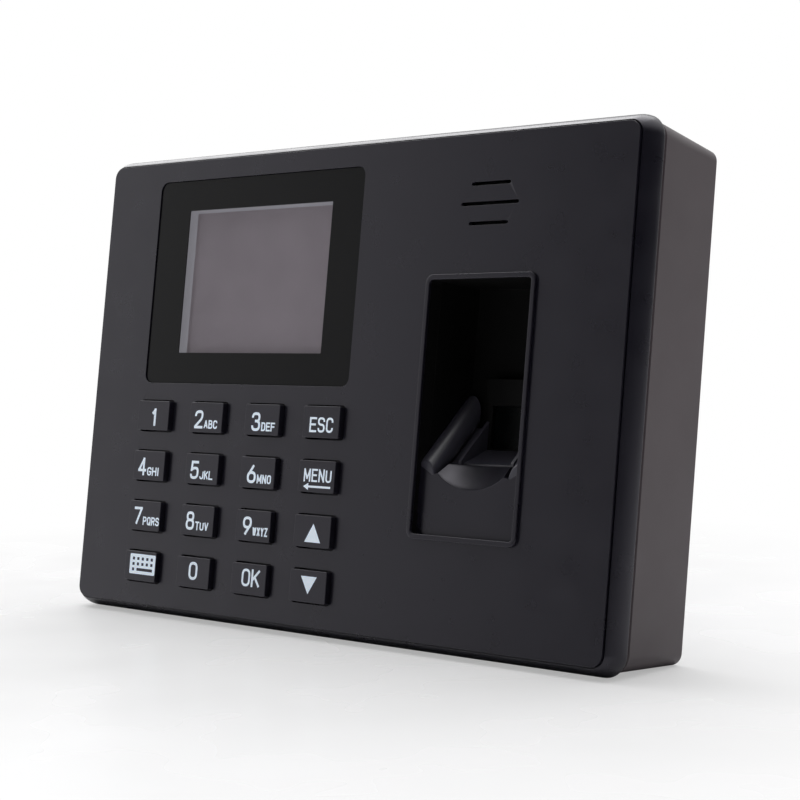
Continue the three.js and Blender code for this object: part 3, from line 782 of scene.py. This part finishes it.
# Strokes of each character in a unit box: (rounded or not, points).
LOOP = (True, [(0.5, 1), (0, 1), (0, 0), (1, 0), (1, 1), (0.5, 1)])
STEM = (False, [(0, 0), (0, 1)])
GLYPHS = {
    "0": [LOOP],
    "1": [(False, [(0, 0.76), (0.65, 1), (0.65, 0)])],
    "2": [(True, [(0, 0.7), (0, 1), (1, 1), (1, 0.58), (0, 0.04)]), (False, [(0, 0), (1, 0)])],
    "3": [
        (True, [(0, 0.74), (0, 1), (0.95, 1), (0.95, 0.54), (0.35, 0.54)]),
        (True, [(0.35, 0.54), (1, 0.54), (1, 0), (0, 0), (0, 0.26)]),
    ],
    "4": [(False, [(0.72, 0), (0.72, 1), (0, 0.26), (1, 0.26)])],
    "5": [
        (False, [(0.95, 1), (0.14, 1), (0.06, 0.5)]),
        (True, [(0.06, 0.5), (0.3, 0.62), (1, 0.62), (1, 0), (0, 0), (0, 0.24)]),
    ],
    "6": [
        (True, [(0.5, 0.58), (0, 0.58), (0, 0), (1, 0), (1, 0.58), (0.5, 0.58)]),
        (False, [(0.72, 1), (0.04, 0.4)]),
    ],
    "7": [(False, [(0, 1), (1, 1), (0.3, 0)])],
    "8": [
        (True, [(0.5, 1), (0.06, 1), (0.06, 0.54), (0.94, 0.54), (0.94, 1), (0.5, 1)]),
        (True, [(0.5, 0.54), (0, 0.54), (0, 0), (1, 0), (1, 0.54), (0.5, 0.54)]),
    ],
    "9": [
        (True, [(0.5, 1), (0, 1), (0, 0.42), (1, 0.42), (1, 1), (0.5, 1)]),
        (False, [(0.96, 0.6), (0.28, 0)]),
    ],
    "A": [(False, [(0, 0), (0.5, 1), (1, 0)]), (False, [(0.18, 0.3), (0.82, 0.3)])],
    "B": [
        STEM,
        (True, [(0, 1), (0.9, 1), (0.9, 0.54), (0, 0.54)]),
        (True, [(0, 0.54), (1, 0.54), (1, 0), (0, 0)]),
    ],
    "C": [(True, [(1, 0.7), (1, 1), (0, 1), (0, 0), (1, 0), (1, 0.3)])],
    "D": [STEM, (True, [(0, 1), (1, 1), (1, 0), (0, 0)])],
    "E": [(False, [(1, 1), (0, 1), (0, 0), (1, 0)]), (False, [(0, 0.52), (0.86, 0.52)])],
    "F": [(False, [(1, 1), (0, 1), (0, 0)]), (False, [(0, 0.52), (0.86, 0.52)])],
    "G": [(True, [(1, 0.72), (1, 1), (0, 1), (0, 0), (1, 0), (1, 0.45)]), (False, [(1, 0.45), (0.5, 0.45)])],
    "H": [STEM, (False, [(1, 0), (1, 1)]), (False, [(0, 0.52), (1, 0.52)])],
    "I": [(False, [(0.5, 0), (0.5, 1)])],
    "J": [(True, [(1, 1), (1, 0), (0, 0), (0, 0.3)])],
    "K": [STEM, (False, [(1, 1), (0, 0.36)]), (False, [(0.34, 0.6), (1, 0)])],
    "L": [(False, [(0, 1), (0, 0), (1, 0)])],
    "M": [(False, [(0, 0), (0, 1), (0.5, 0.2), (1, 1), (1, 0)])],
    "N": [(False, [(0, 0), (0, 1), (1, 0), (1, 1)])],
    "O": [LOOP],
    "P": [STEM, (True, [(0, 1), (1, 1), (1, 0.45), (0, 0.45)])],
    "Q": [LOOP, (False, [(0.6, 0.25), (1.05, -0.05)])],
    "R": [STEM, (True, [(0, 1), (1, 1), (1, 0.48), (0, 0.48)]), (False, [(0.5, 0.48), (1, 0)])],
    "S": [(True, [(1, 0.74), (1, 1), (0, 1), (0, 0.54), (1, 0.5), (1, 0), (0, 0), (0, 0.26)])],
    "T": [(False, [(0, 1), (1, 1)]), (False, [(0.5, 1), (0.5, 0)])],
    "U": [(True, [(0, 1), (0, 0), (1, 0), (1, 1)])],
    "V": [(False, [(0, 1), (0.5, 0), (1, 1)])],
    "W": [(False, [(0, 1), (0.25, 0), (0.5, 0.9), (0.75, 0), (1, 1)])],
    "X": [(False, [(0, 0), (1, 1)]), (False, [(0, 1), (1, 0)])],
    "Y": [(False, [(0, 1), (0.5, 0.5), (1, 1)]), (False, [(0.5, 0.5), (0.5, 0)])],
    "Z": [(False, [(0, 1), (1, 1), (0, 0), (1, 0)])],
}
CELL_WIDTHS = {"I": 0.45, "M": 1.15, "W": 1.2, "1": 0.9}


def ribbon(points, width, height):
    """A flat stroke of ink along an open line of (x, z) points, this high above the cap's face."""
    path = [Vector(point) for point in points]
    rings = []
    for index, place in enumerate(path):
        before = (place - path[index - 1]).normalized() if index else None
        after = (path[index + 1] - place).normalized() if index + 1 < len(path) else None
        along = ((before or after) + (after or before)).normalized()
        across = Vector((-along.y, along.x))
        straight = after or before
        mitre = 1 / across.dot(Vector((-straight.y, straight.x)))
        reach = across * width / 2 * mitre
        left = place + reach
        right = place - reach
        corners = ((left, -height), (right, -height), (right, INK), (left, INK))
        rings.append([(corner.x, depth - FACE_Y, corner.y) for corner, depth in corners])
    return loft("ribbon", rings)


def straight_bars(line, width):
    """The separate straight pieces of a line, each drawn out past its ends."""
    bars = []
    for start, end in zip(line, line[1:]):
        start = Vector(start)
        end = Vector(end)
        along = (end - start).normalized()
        slanted = min(abs(along.x), abs(along.y)) > 0.1
        past = along * width * (0.25 if slanted else 0.5)
        bars.append([start - past, end + past])
    return bars


def lettering(text, left, right, bottom, top, weight, gap=0.35):
    """Characters drawn with even strokes so that the line of text fills a box."""
    widths = [CELL_WIDTHS.get(letter, 1.0) for letter in text]
    unit = (right - left - gap * (len(text) - 1)) / sum(widths)
    lines = []
    start = left
    for letter, cell in zip(text, widths):
        width = unit * cell - weight
        height = top - bottom - weight
        for is_round, points in GLYPHS[letter]:
            line = [(start + weight / 2 + x * width, bottom + weight / 2 + z * height) for x, z in points]
            if is_round:
                lines.append(rounded(line, 0.5 * width, 5, closed=False))
            else:
                lines += straight_bars(line, weight)
        start += unit * cell + gap
    strokes = [ribbon(line, weight, INK + INK_STEP * order) for order, line in enumerate(lines)]
    return joined("lettering", strokes)


def flat_shape(outlines):
    """Filled (x, z) outlines as a thin layer of ink about the cap's centre."""
    return pierced_plate("shape", outlines, -INK / 2 - FACE_Y, INK / 2 - FACE_Y)


def block_outline(left, right, bottom, top):
    """A plain rectangle as (x, z) points."""
    return [(left, bottom), (right, bottom), (right, top), (left, top)]


def digit_legend(digit, letters, column, row, letters_width):
    """A big digit with small letters at its lower right."""
    shift = (0.0, -0.1, 0.5)[column]
    base = -2.75 + 0.2 * row
    left = -5.35 + shift
    start = left + 3.6
    return [
        lettering(digit, left, left + 3.15, base, base + 4.65, 0.68),
        lettering(letters, start, start + letters_width, base + 0.05, base + 2.25, 0.4, 0.22),
    ]


def keyboard_legend():
    """A small keyboard: a framed block with two rows of keys and a space bar left open."""
    outlines = [outline(Rect(-0.4, 0.6, 10.0, 5.2, 0.3), 0.0, 2)]
    for z in (2.0, 0.6):
        for column in range(5):
            x = -3.95 + 1.78 * column
            outlines.append(block_outline(x - 0.45, x + 0.45, z - 0.38, z + 0.38))
    outlines.append(block_outline(-4.4, -3.5, -1.2, -0.44))
    outlines.append(block_outline(-2.6, 3.62, -1.2, -0.44))
    return [flat_shape(outlines)]


def arrow_left():
    """A long arrow that points left, below the word."""
    tip, tail, z = -5.5, 3.6, -2.35
    points = [
        (tip, z),
        (tip + 1.7, z - 0.85),
        (tip + 1.7, z - 0.25),
        (tail, z - 0.25),
        (tail, z + 0.25),
        (tip + 1.7, z + 0.25),
        (tip + 1.7, z + 0.85),
    ]
    return flat_shape([points])


def legend_parts(key):
    """The ink shapes of one key, about the cap's centre."""
    digits = {
        "2": ("ABC", 1, 0, 5.0),
        "3": ("DEF", 2, 0, 4.8),
        "4": ("GHI", 0, 1, 4.7),
        "5": ("JKL", 1, 1, 4.9),
        "6": ("MNO", 2, 1, 5.0),
        "7": ("PQRS", 0, 2, 6.4),
        "8": ("TUV", 1, 2, 4.9),
        "9": ("WXYZ", 2, 2, 5.3),
    }
    if key in digits:
        letters, column, row, width = digits[key]
        return digit_legend(key, letters, column, row, width)
    if key == "1":
        return [lettering("1", -1.75, 0.3, -2.6, 1.95, 0.75)]
    if key == "0":
        return [lettering("0", -2.8, 0.45, -1.75, 2.8, 0.7)]
    if key == "esc":
        return [lettering("ESC", -5.0, 2.9, -2.4, 1.25, 0.52, 0.42)]
    if key == "ok":
        return [lettering("OK", -3.7, 2.75, -1.7, 2.65, 0.62, 0.45)]
    if key == "menu":
        return [lettering("MENU", -5.5, 3.75, -1.2, 1.95, 0.45, 0.4), arrow_left()]
    if key == "up":
        return [flat_shape([[(-3.6, -2.5), (1.75, -2.5), (-0.92, 2.0)]])]
    if key == "down":
        return [flat_shape([[(-3.7, 2.5), (-1.05, -1.7), (1.6, 2.5)]])]
    return keyboard_legend()


for node_name in key_names():
    key = node_name[len("key_"):]
    cap_body = "cap_" + key
    cap = key_cap(node_name)
    add_piece("cap_" + key, cap, MATERIALS["key_plastic"], [node_name], cap_body)
    rect = key_rect(node_name)
    legend = joined("legend_" + key, legend_parts(key))
    face_middle = Vector((rect.x, box(node_name)[0].y, rect.z))
    legend.transform(Matrix.Translation((face_middle + LEGEND_SHIFT) * MM))
    add_piece("legend_" + key, legend, MATERIALS["legend_ink"], (), cap_body)

# ---------------------------------------------------------------- carried-over CAD nodes


def soft_shading():
    """A modifier group that shades every face smooth."""
    group = bpy.data.node_groups.new("soft_shading", "GeometryNodeTree")
    group.interface.new_socket("Geometry", in_out="INPUT", socket_type="NodeSocketGeometry")
    group.interface.new_socket("Geometry", in_out="OUTPUT", socket_type="NodeSocketGeometry")
    start = group.nodes.new("NodeGroupInput")
    smooth = group.nodes.new("GeometryNodeSetShadeSmooth")
    end = group.nodes.new("NodeGroupOutput")
    group.links.new(start.outputs[0], smooth.inputs["Geometry"])
    group.links.new(smooth.outputs[0], end.inputs[0])
    return group


# Thin pieces, whose edges are softened less.
FINE = ("display_tail", "scanner_cable", "speaker_cloth", "speaker_cone", "speaker_wire")


def finish_cad_nodes():
    """Every CAD node that still shows gets softened edges and its slot's material."""
    group = soft_shading()
    for name, node in frame["nodes"].items():
        if node.hide_render:
            continue
        slot_name = node.data.materials[0].name
        node.data.materials[0] = MATERIALS[slot_name]
        node.modifiers.new("weld", "WELD").merge_threshold = 0.001 * MM
        flat = node.modifiers.new("merge flats", "DECIMATE")
        flat.decimate_type = "DISSOLVE"
        flat.angle_limit = math.radians(0.5)
        edges = node.modifiers.new("soft edges", "BEVEL")
        edges.width = (0.04 if name in FINE else 0.14) * MM
        edges.segments = 2
        edges.limit_method = "ANGLE"
        edges.angle_limit = math.radians(32)
        node.modifiers.new("smooth", "NODES").node_group = group
        node.modifiers.new("even shading", "WEIGHTED_NORMAL").keep_sharp = True


finish_cad_nodes()

# ---------------------------------------------------------------- floor, light and camera


def floor_material(name):
    """White floor that burns out to the background away from the object."""
    material, tree = new_material(name)
    coordinates = add_node(tree, "ShaderNodeTexCoord").outputs["Object"]
    distance = add_node(tree, "ShaderNodeVectorMath", {0: coordinates}, operation="LENGTH")
    away = remap(tree, distance.outputs["Value"], 0.4, 1.0, 0.09, 0.28)
    gloss = remap(tree, noise(tree, 40.0), 0.22, 0.3)
    finish = {"Base Color": linear(225, 225, 226), "Roughness": gloss}
    body = add_node(tree, "ShaderNodeBsdfPrincipled", finish)
    glow = add_node(tree, "ShaderNodeEmission", {"Color": (1, 1, 1, 1), "Strength": 1.0})
    camera_ray = add_node(tree, "ShaderNodeLightPath").outputs["Is Camera Ray"]
    factor = add_node(tree, "ShaderNodeMath", operation="MULTIPLY")
    tree.links.new(away, factor.inputs[0])
    tree.links.new(camera_ray, factor.inputs[1])
    mixed = tree.nodes.new("ShaderNodeMixShader")
    tree.links.new(factor.outputs[0], mixed.inputs[0])
    tree.links.new(body.outputs[0], mixed.inputs[1])
    tree.links.new(glow.outputs[0], mixed.inputs[2])
    output = tree.nodes.new("ShaderNodeOutputMaterial")
    tree.links.new(mixed.outputs[0], output.inputs["Surface"])
    return material


def floor():
    """A floor that touches the rim's lower edge and the shell's lower rear edge."""
    front = Vector((0.0, FACE_Y + RIM_BACK, box("front_cover")[0].z))
    rear = Vector((0.0, box("rear_shell")[1].y - 0.4, box("rear_shell")[0].z + 1.85))
    slope = math.atan2(rear.z - front.z, rear.y - front.y)
    shape = bmesh.new()
    bmesh.ops.create_grid(shape, x_segments=8, y_segments=8, size=3.0)
    mesh = bpy.data.meshes.new("studio_floor")
    shape.to_mesh(mesh)
    shape.free()
    mesh.materials.append(floor_material("studio_floor"))
    ground = bpy.data.objects.new("studio_floor", mesh)
    ground.matrix_world = Matrix.Translation(front * MM) @ Matrix.Rotation(slope, 4, "X")
    bpy.context.scene.collection.objects.link(ground)


def world():
    """White surroundings behind, above and to the left of the object, dark on the camera's side."""
    studio = bpy.data.worlds.new("studio")
    studio.use_nodes = True
    tree = studio.node_tree
    tree.nodes.clear()
    direction = add_node(tree, "ShaderNodeTexCoord").outputs["Generated"]

    def lobe(aim, start, end, strength):
        """Light from the directions round `aim`."""
        dot = add_node(tree, "ShaderNodeVectorMath", operation="DOT_PRODUCT")
        tree.links.new(direction, dot.inputs[0])
        dot.inputs[1].default_value = Vector(aim).normalized()
        settings = {
            "Value": dot.outputs["Value"],
            "From Min": start,
            "From Max": end,
            "To Max": strength,
        }
        return add_node(tree, "ShaderNodeMapRange", settings, interpolation_type="SMOOTHSTEP").outputs[0]

    parts = [
        lobe((0.0, 1.0, 0.1), 0.78, 0.97, 1.5),
        lobe((0.0, 0.2, 1.0), 0.45, 0.9, 1.3),
        lobe((-0.87, -0.5, 0.1), 0.87, 1.0, 1.05),
        lobe((-0.73, 0.05, 0.68), 0.79, 0.93, 3.4),
        lobe((0.05, -0.25, 0.97), 0.95, 0.99, 2.6),
    ]
    total = parts[0]
    for part in parts[1:]:
        added = add_node(tree, "ShaderNodeMath", operation="MAXIMUM")
        tree.links.new(total, added.inputs[0])
        tree.links.new(part, added.inputs[1])
        total = added.outputs[0]
    lit = add_node(tree, "ShaderNodeBackground", {"Color": (1, 1, 1, 1), "Strength": total})
    plain = add_node(tree, "ShaderNodeBackground", {"Color": (1, 1, 1, 1), "Strength": 1.0})
    camera_ray = add_node(tree, "ShaderNodeLightPath").outputs["Is Camera Ray"]
    mixed = tree.nodes.new("ShaderNodeMixShader")
    tree.links.new(camera_ray, mixed.inputs[0])
    tree.links.new(lit.outputs[0], mixed.inputs[1])
    tree.links.new(plain.outputs[0], mixed.inputs[2])
    output = tree.nodes.new("ShaderNodeOutputWorld")
    tree.links.new(mixed.outputs[0], output.inputs["Surface"])
    bpy.context.scene.world = studio


def soft_light(name, place, target, size, power):
    """A square softbox at `place` that faces `target`, in metres."""
    data = bpy.data.lights.new(name, "AREA")
    data.shape = "SQUARE"
    data.size = size
    data.energy = power
    light = bpy.data.objects.new(name, data)
    light.location = place
    light.rotation_euler = (Vector(target) - Vector(place)).to_track_quat("-Z", "Y").to_euler()
    bpy.context.scene.collection.objects.link(light)


def camera():
    """A long lens to the right of the terminal and a little below its middle, looking at its face."""
    data = bpy.data.cameras.new("camera")
    data.lens = 86.1
    data.clip_start = 0.01
    item = bpy.data.objects.new("camera", data)
    right = Vector((0.7391, 0.6688, 0.0800))
    up = Vector((-0.0205, -0.0965, 0.9951))
    turn = Matrix((right, up, right.cross(up))).transposed().to_4x4()
    item.matrix_world = Matrix.Translation((0.32264, -0.35402, -0.02860)) @ turn
    bpy.context.scene.collection.objects.link(item)
    bpy.context.scene.camera = item


floor()
world()
soft_light("overhead", (-0.1, 0.15, 0.7), (0.0, 0.0, 0.0), 0.6, 3.0)
camera()
bpy.context.scene.view_settings.view_transform = "Standard"
